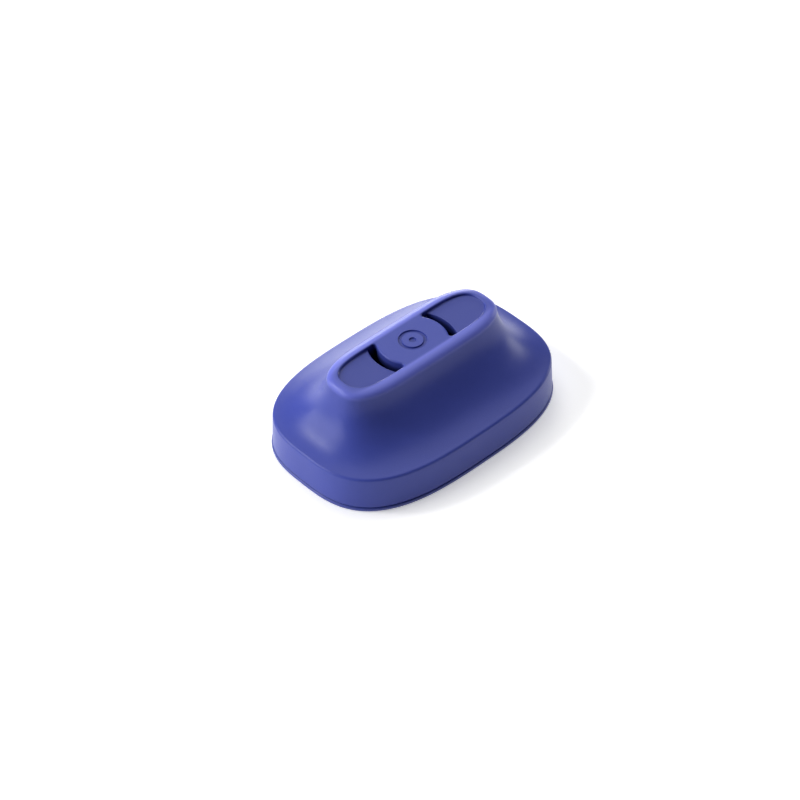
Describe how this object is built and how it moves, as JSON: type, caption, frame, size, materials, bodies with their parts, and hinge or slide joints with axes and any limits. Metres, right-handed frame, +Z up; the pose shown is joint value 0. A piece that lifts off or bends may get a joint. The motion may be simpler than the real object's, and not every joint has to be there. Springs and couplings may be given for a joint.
{
  "type": "push-on mouthpiece cap",
  "caption": "Oval push-on mouthpiece cap in soft silicone, with a raised oblong lip nozzle, crescent air slots round a press pad, and a stiff inner frame with sealed air inlets.",
  "frame": {"origin": "centre of the foot, in the plane it rests on", "axes": "+Z up out of the nozzle, +X along the long side of the oval, +Y across it"},
  "size_m": [0.0286, 0.0194, 0.0097],
  "materials": {
    "silicone_skin": "matte blue-violet silicone, very fine grain",
    "frame_plastic": "satin blue-violet moulded plastic",
    "seal_rubber": "dark grey soft rubber"
  },
  "bodies": {
    "cap": {"silicone_body": "silicone_skin", "snap_frame": "frame_plastic", "inlet_seal_left": "seal_rubber", "inlet_seal_right": "seal_rubber", "pad_web_front": "silicone_skin", "pad_web_back": "silicone_skin"},
    "pad": {"press_pad": "silicone_skin", "push_post": "frame_plastic"}
  },
  "joints": [
    {"name": "pad_press", "type": "slide", "parent": "cap", "child": "pad", "axis": [0, 0, -1], "range_m": [0, 0.0004], "stiffness_N_per_m": 1500, "deforming": ["pad_web_front", "pad_web_back"]}
  ]
}
